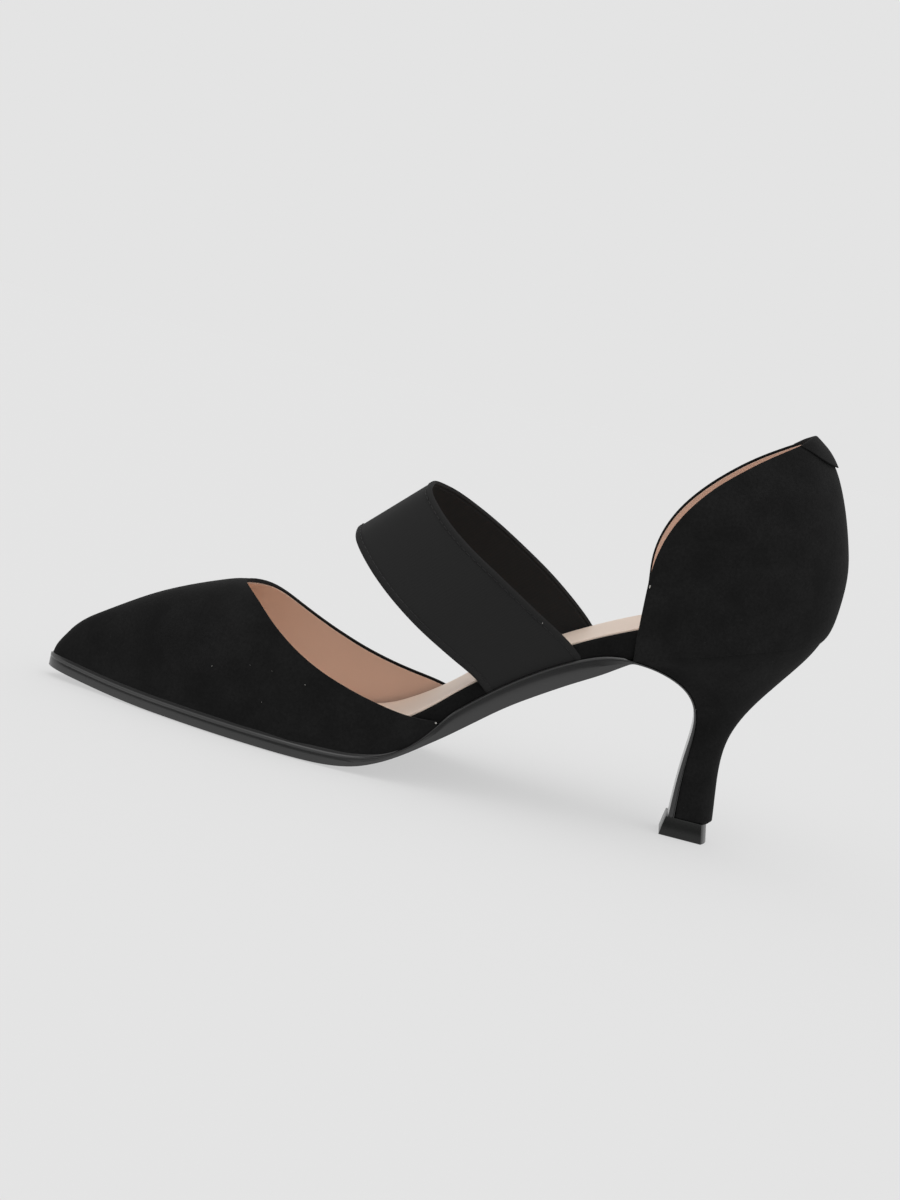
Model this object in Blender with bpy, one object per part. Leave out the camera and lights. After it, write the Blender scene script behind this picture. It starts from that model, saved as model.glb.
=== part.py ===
"""A right-foot pump with a separate heel counter, an elastic instep band and a covered heel.

Every piece is its own closed solid, in metres, +X to the toe, +Y to the medial side, +Z up.
The tables are in millimetres, with x measured forward from the back of the heel.
Run with: blender --background --python part.py
"""

import math

import bmesh
import bpy

MM = 0.001

# Driving sizes of the shoe, in millimetres; the middle is that of the whole shoe's box
MIDDLE_X = 119.7
MIDDLE_Y = -1.8
WALL = 1.8
GAP = 0.3
BAND_THICKNESS = 1.2
BAND_LIFT = 1.25
TOP_PIECE_HEIGHT = 6.2
FLAP_THICKNESS = 1.3
SEAT_BOARD = 5.0
UPPER_MARGIN = WALL + GAP
SOLE_MARGIN = 2.7
WAIST_SOLE_MARGIN = 2.0
HEEL_NOSE_END = 52.0
TOE_ROUND_START = 228.0
INSOLE_TIP = 236.8
THROAT_X = 184.5
VAMP_REAR_X = 111.0
COUNTER_FRONT_X = 59.0


def table(names, rows):
    """Turn rows of numbers into columns that are read by name."""
    return {name: [row[i] for row in rows] for i, name in enumerate(names.split())}


# Plan outline of the insole: the offset of its middle to the medial side, and its half width
OUTLINE = table("x centre half", (
    (3, 0.0, 24.0),
    (50, 0.0, 24.0),
    (60, 0.0, 23.8),
    (75, 0.2, 22.8),
    (90, 0.0, 24.5),
    (105, -0.5, 28.4),
    (120, -1.2, 32.6),
    (135, -1.6, 34.8),
    (150, -1.9, 34.8),
    (165, -1.6, 32.4),
    (180, -1.0, 28.0),
    (195, -0.2, 22.0),
    (210, 0.6, 15.2),
    (222, 1.2, 9.6),
    (232, 1.8, 5.6),
    (242, 2.2, 4.4),
))

# Side profile: top of the insole, and the top and bottom of the outsole
PROFILE = table("x insole_top sole_top sole_bottom", (
    (3, 77.6, 72.4, 70.0),
    (20, 74.9, 69.8, 65.0),
    (35, 70.8, 65.0, 60.0),
    (50, 65.8, 58.0, 54.0),
    (60, 61.4, 52.8, 50.2),
    (67, 58.1, 51.8, 46.2),
    (75, 53.8, 48.4, 41.2),
    (82, 49.7, 44.6, 36.8),
    (92, 43.1, 37.9, 30.2),
    (101, 36.4, 30.6, 23.2),
    (108, 30.4, 24.0, 17.6),
    (113, 25.6, 17.0, 13.6),
    (118, 21.4, 11.6, 9.6),
    (126, 15.6, 6.9, 4.6),
    (135, 10.6, 4.9, 1.0),
    (145, 8.3, 4.4, 0.0),
    (200, 7.8, 4.4, 0.0),
    (215, 8.2, 4.8, 0.5),
    (228, 9.2, 5.8, 1.6),
    (242, 10.8, 7.4, 3.2),
))

# Instep and toe: height of the upper's ridge, how far the ridge lies to the medial side,
# and the height of the vamp's topline on each side
LAST = table("x ridge_z ridge_y medial_topline lateral_topline", (
    (111, 106.0, 3.0, 22.6, 21.4),
    (118, 99.0, 3.2, 21.7, 23.2),
    (131, 88.0, 3.6, 22.8, 24.6),
    (145, 74.5, 3.8, 26.2, 27.6),
    (158, 62.5, 3.6, 31.6, 32.4),
    (170, 52.8, 3.2, 38.8, 39.0),
    (179, 48.0, 2.8, 44.8, 44.8),
    (184.5, 45.6, 2.6, 45.6, 45.6),
    (196, 41.1, 2.4, 41.1, 41.1),
    (210, 34.4, 2.2, 34.4, 34.4),
    (222, 27.4, 2.1, 27.4, 27.4),
    (232, 20.6, 2.2, 20.6, 20.6),
    (238, 15.4, 2.3, 15.4, 15.4),
    (240.4, 11.0, 2.3, 11.0, 11.0),
))

# Centre line of the counter's back, from the heel seam to the peak
COUNTER_BACK = table("z x", (
    (70.0, 3.2),
    (73.0, 1.3),
    (78.4, 0.4),
    (87.9, 0.0),
    (94.0, 0.5),
    (101.4, 2.5),
    (109.0, 5.0),
    (117.5, 8.6),
    (123.1, 11.8),
    (127.5, 15.6),
    (131.0, 20.6),
))

# Front edge and topline of the counter in side view, level for level with the back
COUNTER_FRONT = table("level x z", (
    (0.00, 58.6, 52.6),
    (0.15, 59.3, 62.0),
    (0.30, 59.8, 73.0),
    (0.42, 60.0, 81.5),
    (0.54, 58.7, 89.5),
    (0.65, 54.9, 98.8),
    (0.76, 48.9, 107.4),
    (0.86, 41.2, 115.6),
    (0.94, 32.6, 122.8),
    (1.00, 24.0, 128.6),
))

# Half width of the counter at heights above the heel seam
COUNTER_WIDTH = table("height half", (
    (0, 26.1),
    (8, 26.8),
    (20, 29.0),
    (32, 30.0),
    (45, 28.6),
    (55, 25.4),
    (64, 21.5),
))

# Covered heel from the tip up: centre back, outer face of the sole's flap on the breast,
# half width, and how much of the section's length is the round back
HEEL = table("back_x back_z breast_x breast_z half nose", (
    (22.6, 6.5, 36.5, 6.5, 6.9, 0.42),
    (22.9, 11.0, 36.6, 12.0, 6.5, 0.45),
    (23.7, 17.0, 36.6, 19.0, 6.1, 0.50),
    (24.5, 23.5, 36.2, 26.5, 6.0, 0.55),
    (24.5, 31.5, 35.6, 33.5, 6.4, 0.60),
    (22.3, 38.7, 36.0, 38.8, 7.8, 0.66),
    (18.8, 45.3, 38.3, 44.0, 11.0, 0.72),
    (14.5, 51.7, 43.1, 48.1, 15.5, 0.78),
    (9.9, 58.2, 50.2, 50.7, 20.5, 0.83),
    (5.5, 64.7, 55.6, 51.5, 24.5, 0.86),
    (3.2, 69.8, 58.6, 50.8, 26.1, 0.88),
))

# Instep band from the medial edge of the sole over the instep to the lateral edge:
# its rear edge and its front edge
BAND = table("step rear_x rear_y rear_z front_x front_y front_z", (
    (0, 72.6, 23.4, 50.4, 96.4, 26.3, 34.9),
    (1, 78.6, 23.8, 54.0, 101.6, 28.0, 37.9),
    (2, 91.0, 26.6, 60.6, 111.2, 30.6, 41.9),
    (3, 103.0, 28.0, 66.9, 122.4, 31.6, 47.4),
    (4, 115.0, 25.0, 73.4, 133.6, 28.2, 54.2),
    (5, 125.6, 18.4, 80.6, 143.4, 21.4, 61.4),
    (6, 131.6, 9.4, 86.4, 149.8, 12.2, 67.2),
    (7, 132.0, -0.4, 88.6, 151.2, 1.6, 69.4),
    (8, 126.8, -10.6, 87.0, 147.0, -9.4, 67.8),
    (9, 116.4, -19.4, 82.0, 137.4, -19.4, 62.2),
    (10, 104.0, -25.4, 74.9, 125.0, -27.2, 54.4),
    (11, 90.4, -26.4, 66.6, 112.0, -31.0, 46.2),
    (12, 77.4, -24.0, 57.2, 101.0, -28.3, 39.0),
    (13, 70.6, -23.4, 51.6, 94.4, -25.9, 36.2),
))

# Linear colour, roughness and metallic value of each finish
FINISHES = {
    "suede": ((0.012, 0.012, 0.012, 1.0), 0.95, 0.0),
    "elastic": ((0.026, 0.027, 0.027, 1.0), 0.8, 0.0),
    "sole": ((0.045, 0.045, 0.044, 1.0), 0.42, 0.0),
    "tip": ((0.05, 0.05, 0.05, 1.0), 0.35, 0.0),
    "leather": ((0.81, 0.66, 0.54, 1.0), 0.5, 0.0),
}


def clear_scene():
    for item in list(bpy.data.objects):
        bpy.data.objects.remove(item, do_unlink=True)


def slopes(xs, ys):
    """Slopes of a smooth curve through the points that doesn't overshoot them."""
    steps = [(ys[i + 1] - ys[i]) / (xs[i + 1] - xs[i]) for i in range(len(xs) - 1)]
    result = [steps[0]]
    for left, right in zip(steps[:-1], steps[1:]):
        result.append(0.0 if left * right <= 0 else 2 * left * right / (left + right))
    result.append(steps[-1])
    return result


def at(columns, name, value, key="x"):
    """Read a column smoothly between its rows."""
    xs = columns[key]
    ys = columns[name]
    value = min(max(value, xs[0]), xs[-1])
    i = max(j for j in range(len(xs) - 1) if xs[j] <= value)
    span = xs[i + 1] - xs[i]
    t = (value - xs[i]) / span
    ends = slopes(xs, ys)
    return ((2 * t**3 - 3 * t**2 + 1) * ys[i] + (t**3 - 2 * t**2 + t) * span * ends[i]
            + (3 * t**2 - 2 * t**3) * ys[i + 1] + (t**3 - t**2) * span * ends[i + 1])


def material(name):
    found = bpy.data.materials.new(name)
    found.use_nodes = True
    shader = found.node_tree.nodes["Principled BSDF"]
    colour, roughness, metallic = FINISHES[name.split("_")[-1]]
    shader.inputs["Base Color"].default_value = colour
    shader.inputs["Roughness"].default_value = roughness
    shader.inputs["Metallic"].default_value = metallic
    found.diffuse_color = colour
    return found


def solid(name, finish, points, faces, smooth_angle=40):
    """Make one object of points in millimetres, shifted to the middle of the shoe's box."""
    mesh = bpy.data.meshes.new(name)
    mesh.from_pydata([(x * MM, y * MM, z * MM) for x, y, z in points], [], faces)
    mesh.shade_smooth()
    mesh.set_sharp_from_angle(angle=math.radians(smooth_angle))
    piece = bpy.data.objects.new(name, mesh)
    piece.data.materials.append(material(name + "_" + finish))
    piece.location = (-MIDDLE_X * MM, -MIDDLE_Y * MM, 0)
    bpy.context.collection.objects.link(piece)
    return piece


def face_outward(piece):
    mesh = bmesh.new()
    mesh.from_mesh(piece.data)
    bmesh.ops.recalc_face_normals(mesh, faces=mesh.faces)
    mesh.to_mesh(piece.data)
    mesh.free()


def loft(name, finish, rings, smooth_angle=40):
    """Close a row of equal rings into one solid, with a flat cap on each end."""
    count = len(rings[0])
    points = [point for ring in rings for point in ring]
    faces = [list(range(count)), [len(points) - 1 - i for i in range(count)]]
    for r in range(len(rings) - 1):
        for i in range(count):
            here = r * count + i
            beside = r * count + (i + 1) % count
            faces.append((here, beside, beside + count, here + count))
    piece = solid(name, finish, points, faces, smooth_angle)
    face_outward(piece)
    return piece


def thicken(piece, thickness, inward):
    """Give an open sheet its wall."""
    wall = piece.modifiers.new("wall", "SOLIDIFY")
    wall.thickness = thickness * MM
    wall.offset = -1 if inward else 1
    wall.use_even_offset = True
    wall.use_quality_normals = True


def seam_height(x):
    """The slanted line where the counter stands on the heel."""
    start = (COUNTER_BACK["x"][0], COUNTER_BACK["z"][0])
    end = (COUNTER_FRONT["x"][0], COUNTER_FRONT["z"][0])
    share = (x - start[0]) / (end[0] - start[0])
    return start[1] + (end[1] - start[1]) * share


def nose_factor(x, back, end):
    """Rounds a heel's plan from nothing at its back to full width at the end of the nose."""
    if x >= end:
        return 1.0
    share = min(max((end - x) / (end - back), 0.0), 1.0)
    return math.sqrt(1.0 - share * share)


def toe_factor(x, margin):
    if x <= TOE_ROUND_START:
        return 1.0
    share = min((x - TOE_ROUND_START) / (INSOLE_TIP + margin - TOE_ROUND_START), 1.0)
    return math.sqrt(1.0 - share * share)


def edge(x, side, margin):
    """The y of the sole's plan outline, a margin outside the insole, on one side."""
    half = (at(OUTLINE, "half", x) + margin) * toe_factor(x, margin)
    return at(OUTLINE, "centre", x) + side * half


def spaced(start, end, count, ease=None):
    """Values from start to end, crowded together at the start, the end or neither."""
    shares = [i / (count - 1) for i in range(count)]
    if ease == "start":
        shares = [1 - math.cos(s * math.pi / 2) for s in shares]
    if ease == "end":
        shares = [math.sin(s * math.pi / 2) for s in shares]
    return [start + (end - start) * s for s in shares]


def waist_stations():
    """Section places from the heel's breast to the toe, closer where the sole thins."""
    waist = spaced(61.5, 105, 10)
    step = spaced(108, 127, 8)
    return waist + step + spaced(132, TOE_ROUND_START, 13)


def insole():
    """The insole board with its wrapped edge, stepped down in front of the heel."""
    back = COUNTER_BACK["x"][0] + 0.8
    heel_stations = spaced(back + 0.25, 57.6, 14, "start")
    front_stations = [58.9] + waist_stations()
    toe_stations = spaced(TOE_ROUND_START, INSOLE_TIP - 0.15, 7, "end")[1:]
    rings = []
    for x in heel_stations + front_stations + toe_stations:
        on_heel = x < COUNTER_FRONT_X - 1
        top = at(PROFILE, "insole_top", x)
        bottom = top - SEAT_BOARD if on_heel else at(PROFILE, "sole_top", x) + GAP
        flare = 0.5 * nose_factor(x, back, HEEL_NOSE_END) if on_heel else 0.0
        ring = []
        for side in (1, -1):
            middle = at(OUTLINE, "centre", x)
            half = abs(edge(x, side, 0) - middle) * nose_factor(x, back, HEEL_NOSE_END)
            round_over = min(0.8, half * 0.3)
            outer = (
                (half, bottom),
                (half + flare, top - 0.8),
                (half + flare - round_over, top),
            )
            corners = [(x, middle + side * y, z) for y, z in outer]
            ring += corners if side > 0 else corners[::-1]
        rings.append(ring)
    return loft("insole", "leather", rings, 50)


def breast_points():
    """The outer face of the sole's flap, and the same line moved in by a distance."""
    outer = list(zip(HEEL["breast_x"], HEEL["breast_z"]))

    def moved(distance):
        result = []
        for i, (x, z) in enumerate(outer):
            before = outer[max(i - 1, 0)]
            after = outer[min(i + 1, len(outer) - 1)]
            along = (after[0] - before[0], after[1] - before[1])
            length = math.hypot(*along)
            result.append((x - along[1] / length * distance, z + along[0] / length * distance))
        return result

    return outer, moved


def outsole():
    """One moulded piece: flat forefoot, deep waist, and a flap down the heel's breast."""
    outer, moved = breast_points()
    inner = moved(FLAP_THICKNESS)
    stations = []
    for i in range(len(outer)):
        half = HEEL["half"][i] - 0.4
        stations.append((inner[i], outer[i], half, half, 0.5, 0.0))
    main = waist_stations()
    main += spaced(TOE_ROUND_START, INSOLE_TIP + SOLE_MARGIN - 0.2, 7, "end")[1:]
    for x in main:
        waist = min(max((x - 100) / 20, 0.0), 1.0)
        margin = WAIST_SOLE_MARGIN + (SOLE_MARGIN - WAIST_SOLE_MARGIN) * waist
        top = (x, at(PROFILE, "sole_top", x))
        bottom = (x, at(PROFILE, "sole_bottom", x))
        halves = [abs(edge(x, side, margin) - at(OUTLINE, "centre", x)) for side in (1, -1)]
        bevel = 2.2 + (1.0 - 2.2) * waist
        stations.append((top, bottom, halves[0], halves[1], bevel, at(OUTLINE, "centre", x)))
    rings = []
    for top, bottom, medial, lateral, bevel, middle in stations:
        depth = math.hypot(top[0] - bottom[0], top[1] - bottom[1])
        lift = min(0.9, depth * 0.3) / depth
        ring = []
        for side, half in ((1, medial), (-1, lateral)):
            inset = min(bevel, half * 0.3)
            wall = (
                (0.0, half),
                (0.3, half + 0.1),
                (0.7, half - 0.25 * inset),
                (1 - lift, half - inset),
                (1.0, half - inset - min(5.0, half * 0.4)),
            )
            corners = []
            for share, reach in wall:
                x = top[0] + (bottom[0] - top[0]) * share
                z = top[1] + (bottom[1] - top[1]) * share
                corners.append((x, middle + side * reach, z))
            ring += corners if side > 0 else corners[::-1]
        rings.append(ring)
    return loft("outsole", "sole", rings, 35)


def heel_ring(back, front, half, nose, count=17, inset=0.0, heights=None):
    """A heel section: flat at the breast, straight at the sides and round at the back."""
    back = (back[0] + inset, back[1])
    half = half - inset
    nose_end = back[0] + (front[0] - back[0]) * nose
    ring = []
    for i in range(count):
        turn = -math.pi / 2 + math.pi * i / (count - 1)
        x = nose_end - (nose_end - back[0]) * math.cos(turn)
        y = half * math.sin(turn)
        ring.append([x, y])
    ring = [[front[0], -half]] + ring + [[front[0], half]]
    result = []
    for x, y in ring:
        z = back[1] + (front[1] - back[1]) * (x - back[0]) / (front[0] - back[0])
        result.append((x, y, heights(x) if heights else z))
    return result


def heel():
    """The covered heel, with a raised seat that fills the inside of the counter's foot."""
    _, moved = breast_points()
    fronts = moved(FLAP_THICKNESS + GAP)
    rings = []
    for i, front in enumerate(fronts):
        back = (HEEL["back_x"][i], HEEL["back_z"][i])
        rings.append(heel_ring(back, front, HEEL["half"][i], HEEL["nose"][i]))
    front = (57.6, fronts[-1][1])
    back = (HEEL["back_x"][-1], HEEL["back_z"][-1])
    inset = UPPER_MARGIN + 0.2
    half = HEEL["half"][-1]
    nose = HEEL["nose"][-1]
    rings.append(heel_ring(back, front, half, nose, inset=inset,
                           heights=lambda x: seam_height(x) - 0.15))
    rings.append(heel_ring(back, front, half, nose, inset=inset,
                           heights=lambda x: at(PROFILE, "insole_top", x) - SEAT_BOARD - GAP))
    return loft("heel", "suede", rings, 45)


def top_piece():
    """The worn tip under the heel, wider at the floor."""
    rings = []
    for z, grow in ((0.0, 0.7), (0.5, 0.75), (TOP_PIECE_HEIGHT, 0.05)):
        back = (HEEL["back_x"][0] - grow + 0.3, z)
        front = (HEEL["breast_x"][0] + 0.5 + grow, z)
        rings.append(heel_ring(back, front, HEEL["half"][0] + grow, HEEL["nose"][0]))
    return loft("top_piece", "tip", rings, 30)


def counter_point(level, turn):
    """A point on the counter: level 0 at the seam, 1 at the peak; turn -1 to 1 around."""
    back_z = COUNTER_BACK["z"][0] + (COUNTER_BACK["z"][-1] - COUNTER_BACK["z"][0]) * level
    back_x = at(COUNTER_BACK, "x", back_z, "z")
    front_x = at(COUNTER_FRONT, "x", level, "level")
    front_z = at(COUNTER_FRONT, "z", level, "level")
    share = 1 - math.cos(abs(turn) * math.pi / 2)
    x = back_x + (front_x - back_x) * share
    z = back_z + (front_z - back_z) * share
    height = z - seam_height(x)
    reach = at(COUNTER_WIDTH, "half", height, "height")
    outline_back = at(COUNTER_BACK, "x", z, "z")
    nose_end = max(HEEL_NOSE_END, back_x + 1)
    y = reach * nose_factor(x, min(outline_back, back_x), nose_end)
    return x, math.copysign(y, turn) if turn else 0.0, z + GAP / 2


def counter():
    """The heel counter: a shell around the heel that rises to a peak at the back."""
    levels = [0, 0.03, 0.08, 0.15, 0.24, 0.34, 0.44, 0.54, 0.64, 0.74, 0.83, 0.91, 0.97, 1.0]
    turns = [i / 14 for i in range(-14, 15)]
    points = [counter_point(level, turn) for level in levels for turn in turns]
    count = len(turns)
    faces = []
    for r in range(len(levels) - 1):
        for c in range(count - 1):
            here = r * count + c
            faces.append((here, here + count, here + count + 1, here + 1))
    piece = solid("counter", "suede", points, faces)
    thicken(piece, WALL, True)
    return piece


def vamp_point(x, side, share):
    """A point on the vamp's outside: share 0 at the sole and 1 at the topline or ridge."""
    foot = at(PROFILE, "sole_top", x) + GAP
    ridge = max(at(LAST, "ridge_z", x), foot + 2.0)
    rise = ridge - foot
    topline = at(LAST, "medial_topline" if side > 0 else "lateral_topline", x)
    reach = 1.0 if x >= THROAT_X else min(max((topline - foot) / rise, 0.001), 1.0)
    turn = math.asin(reach) * share
    ridge_y = at(LAST, "ridge_y", x)
    sole_y = edge(x, side, UPPER_MARGIN)
    middle = at(OUTLINE, "centre", x)
    if x > TOE_ROUND_START:
        blend = toe_factor(x, UPPER_MARGIN)
        ridge_y = middle + (ridge_y - middle) * blend
    swell = 1 + 0.03 * math.sin(2 * turn)
    y = ridge_y + (sole_y - ridge_y) * math.cos(turn) ** 0.78 * swell
    return x, y, foot + rise * math.sin(turn)


def vamp():
    """The toe of the upper, whose cut-away sides end on the sole in front of the band."""
    tip = INSOLE_TIP + UPPER_MARGIN
    stations = spaced(VAMP_REAR_X, THROAT_X, 15)
    stations += spaced(THROAT_X, TOE_ROUND_START, 8)[1:]
    stations += spaced(TOE_ROUND_START, tip, 8, "end")[1:]
    rows = 11
    points = []
    index = {}
    for i, x in enumerate(stations):
        for side in (1, -1):
            for j in range(rows):
                joined = side < 0 and (i == len(stations) - 1
                                       or (j == rows - 1 and x >= THROAT_X))
                if joined:
                    index[i, side, j] = index[i, 1, j]
                    continue
                index[i, side, j] = len(points)
                points.append(vamp_point(x, side, j / (rows - 1)))
    faces = []
    for i in range(len(stations) - 1):
        for side in (1, -1):
            for j in range(rows - 1):
                face = [index[i, side, j], index[i + 1, side, j],
                        index[i + 1, side, j + 1], index[i, side, j + 1]]
                faces.append(face[::-1] if side > 0 else face)
    piece = solid("vamp", "suede", points, faces)
    thicken(piece, WALL, True)
    return piece


def instep_band():
    """The wide elastic band from one edge of the sole over the instep to the other."""
    steps = spaced(0, BAND["step"][-1], 40)
    across = [i / 5 for i in range(6)]
    points = []
    for step in steps:
        rear = [at(BAND, "rear_" + axis, step, "step") for axis in "xyz"]
        front = [at(BAND, "front_" + axis, step, "step") for axis in "xyz"]
        for share in across:
            points.append([r + (f - r) * share for r, f in zip(rear, front)])
    for row in (0, len(steps) - 1):
        for c in range(len(across)):
            point = points[row * len(across) + c]
            point[2] = at(PROFILE, "sole_top", point[0]) + BAND_LIFT
            side = 1 if row == 0 else -1
            point[1] = edge(point[0], side, GAP)
    count = len(across)
    faces = []
    for r in range(len(steps) - 1):
        for c in range(count - 1):
            here = r * count + c
            faces.append((here, here + count, here + count + 1, here + 1))
    piece = solid("instep_band", "elastic", points, faces)
    thicken(piece, BAND_THICKNESS, False)
    return piece


clear_scene()
outsole()
insole()
heel()
top_piece()
counter()
vamp()
instep_band()
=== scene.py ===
"""A black suede pump for the right foot, with a separate heel counter, an elastic band over
the instep and a covered heel. It stands empty on its sole on a sheet of pale paper.

Sizes are written in millimetres. +X is the toe, +Y the inner side of the foot and +Z up.
"""

import math

import bmesh
import bpy
from mathutils import Matrix, Vector


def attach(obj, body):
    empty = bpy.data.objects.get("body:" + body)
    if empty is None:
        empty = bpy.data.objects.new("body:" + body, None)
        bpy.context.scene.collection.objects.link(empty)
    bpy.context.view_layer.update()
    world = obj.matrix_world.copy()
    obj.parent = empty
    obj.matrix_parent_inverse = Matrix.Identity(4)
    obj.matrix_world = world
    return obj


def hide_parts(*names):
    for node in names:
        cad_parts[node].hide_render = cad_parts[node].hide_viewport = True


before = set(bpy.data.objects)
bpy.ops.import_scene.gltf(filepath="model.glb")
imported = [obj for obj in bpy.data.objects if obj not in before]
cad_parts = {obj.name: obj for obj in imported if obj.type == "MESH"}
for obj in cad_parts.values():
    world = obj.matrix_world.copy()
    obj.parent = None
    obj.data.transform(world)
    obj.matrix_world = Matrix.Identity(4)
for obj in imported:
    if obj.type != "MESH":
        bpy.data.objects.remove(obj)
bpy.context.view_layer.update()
MM = 0.001

# The camera stands low on the inner side of the shoe, a little behind it, tilted down and
# rolled. The shift puts the shoe where the photograph has it, with room round it.
CAMERA_PLACE = Vector((-55.9, 607.5, 120.3)) * MM
YAW = math.radians(4.4)
PITCH = math.radians(4.78)
ROLL = math.radians(13.65)
LENS = 58.2
SENSOR = 36.0
SHIFT = (-0.0311, -0.0338)

ahead = Vector((math.sin(YAW) * math.cos(PITCH), -math.cos(YAW) * math.cos(PITCH),
                -math.sin(PITCH)))
level = ahead.cross(Vector((0, 0, 1))).normalized()
upright = level.cross(ahead)
right = level * math.cos(ROLL) + upright * math.sin(ROLL)
above = upright * math.cos(ROLL) - level * math.sin(ROLL)
bpy.ops.object.camera_add()
camera = bpy.context.object
camera.matrix_world = Matrix.Translation(CAMERA_PLACE) @ Matrix(
    (right, above, -ahead)).transposed().to_4x4()
camera.data.sensor_width = SENSOR
camera.data.lens = LENS
camera.data.shift_x, camera.data.shift_y = SHIFT
camera.data.clip_start = 10 * MM
bpy.context.scene.camera = camera
bpy.context.scene.view_settings.view_transform = "Standard"


def colour(code):
    """Turn an sRGB hex value into the linear colour that a shader takes."""
    shares = [int(code[i:i + 2], 16) / 255 for i in (1, 3, 5)]
    return [s / 12.92 if s <= 0.04045 else ((s + 0.055) / 1.055) ** 2.4 for s in shares] + [1]


def finish(name, **sockets):
    """A new material with its shader's own sockets set; _ in a name stands for a space."""
    made = bpy.data.materials.new(name)
    made.use_nodes = True
    shader = made.node_tree.nodes["Principled BSDF"]
    for socket, value in sockets.items():
        shader.inputs[socket.replace("_", " ")].default_value = value
    return made


def node(made, kind, values, links=(), **settings):
    """Add one shader node to a material with its settings, socket values and links."""
    added = made.node_tree.nodes.new("ShaderNode" + kind)
    for setting, value in settings.items():
        setattr(added, setting, value)
    for socket, value in dict(values).items():
        added.inputs[socket].default_value = value
    for socket, source in dict(links).items():
        made.node_tree.links.new(source, added.inputs[socket])
    return added


def feed(made, **sources):
    """Link node outputs to sockets of a material's shader."""
    shader = made.node_tree.nodes["Principled BSDF"]
    for socket, source in sources.items():
        made.node_tree.links.new(source, shader.inputs[socket.replace("_", " ")])


# The shoe stands on a wide sheet of pale matt paper on a light table, under one large soft
# box. The room is pale too, but darker low down on the camera's side.
PAPER_SIZE = 60.0
PAPER_DROP = 0.1 * MM

paper = finish("matt_background_paper", Base_Color=colour("#8d8d8d"), Roughness=0.95,
               Specular_IOR_Level=0.0, Emission_Color=colour("#ffffff"),
               Emission_Strength=0.522)
paper_place = node(paper, "TexCoord", {})
paper_tooth = node(paper, "TexNoise", {"Scale": 900, "Detail": 2},
                   {"Vector": paper_place.outputs["Object"]})
paper_bump = node(paper, "Bump", {"Strength": 0.05, "Distance": 0.1 * MM},
                  {"Height": paper_tooth.outputs[0]})
feed(paper, Normal=paper_bump.outputs["Normal"])

bpy.ops.object.select_all(action="DESELECT")
bpy.ops.mesh.primitive_plane_add(size=PAPER_SIZE, location=(0, 0, -PAPER_DROP))
bpy.ops.object.transform_apply(location=True)
paper_sheet = bpy.context.object
paper_sheet.name = "paper_sheet"
paper_sheet.data.materials.append(paper)

bpy.ops.object.light_add(type="SUN", location=(0, 0, 3),
                         rotation=(math.radians(-14), math.radians(-16), 0))
soft_box = bpy.context.object.data
soft_box.angle = math.radians(75)
soft_box.energy = 0.75
room = bpy.data.worlds.new("pale_room")
room.use_nodes = True
way = node(room, "SeparateXYZ", {}, {
    "Vector": node(room, "TexCoord", {}).outputs["Generated"]})
near_side = node(room, "MapRange", {"From Min": -0.1, "From Max": 0.6},
                 {"Value": way.outputs["Y"]}, interpolation_type="SMOOTHSTEP")
low_down = node(room, "MapRange", {"From Min": 0.6, "From Max": 0.1},
                {"Value": way.outputs["Z"]}, interpolation_type="SMOOTHSTEP")
unlit = node(room, "Math", {}, {0: near_side.outputs[0], 1: low_down.outputs[0]},
             operation="MULTIPLY")
walls = node(room, "MixRGB", {"Color1": colour("#e4e4e4"), "Color2": colour("#5a5a5a")},
             {"Fac": unlit.outputs[0]})
seen = node(room, "MixRGB", {"Color2": colour("#e4e4e4")}, {
    "Fac": node(room, "LightPath", {}).outputs["Is Camera Ray"], "Color1": walls.outputs[0]})
room.node_tree.links.new(seen.outputs[0], room.node_tree.nodes["Background"].inputs["Color"])
bpy.context.scene.world = room

# The outsole is one piece of black leather with a waxed, polished edge: a thin forefoot, a
# deep waist whose wall stands under a small rounded rim, and a flap down the heel's breast.
MIDDLE = Vector((119.7, -1.8, 0.0))
SOLE_MARGIN = 2.7
WAIST_SOLE_MARGIN = 2.0
TOE_ROUND_START = 228.0
INSOLE_TIP = 236.8
RIM_HEIGHT = 0.8
RIM_DEPTH = 0.45
RIM_RISE = 0.9
FLAP_SINK = 0.8


def table(names, rows):
    """Turn rows of numbers into columns that are read by name."""
    return {name: [row[i] for row in rows] for i, name in enumerate(names.split())}


OUTLINE = table("x centre half", (
    (3, 0.0, 24.0),
    (50, 0.0, 24.0),
    (60, 0.0, 23.8),
    (75, 0.2, 22.8),
    (90, 0.0, 24.5),
    (105, -0.5, 28.4),
    (120, -1.2, 32.6),
    (135, -1.6, 34.8),
    (150, -1.9, 34.8),
    (165, -1.6, 32.4),
    (180, -1.0, 28.0),
    (195, -0.2, 22.0),
    (210, 0.6, 15.2),
    (222, 1.2, 9.6),
    (232, 1.8, 5.6),
    (242, 2.2, 4.4),
))

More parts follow.
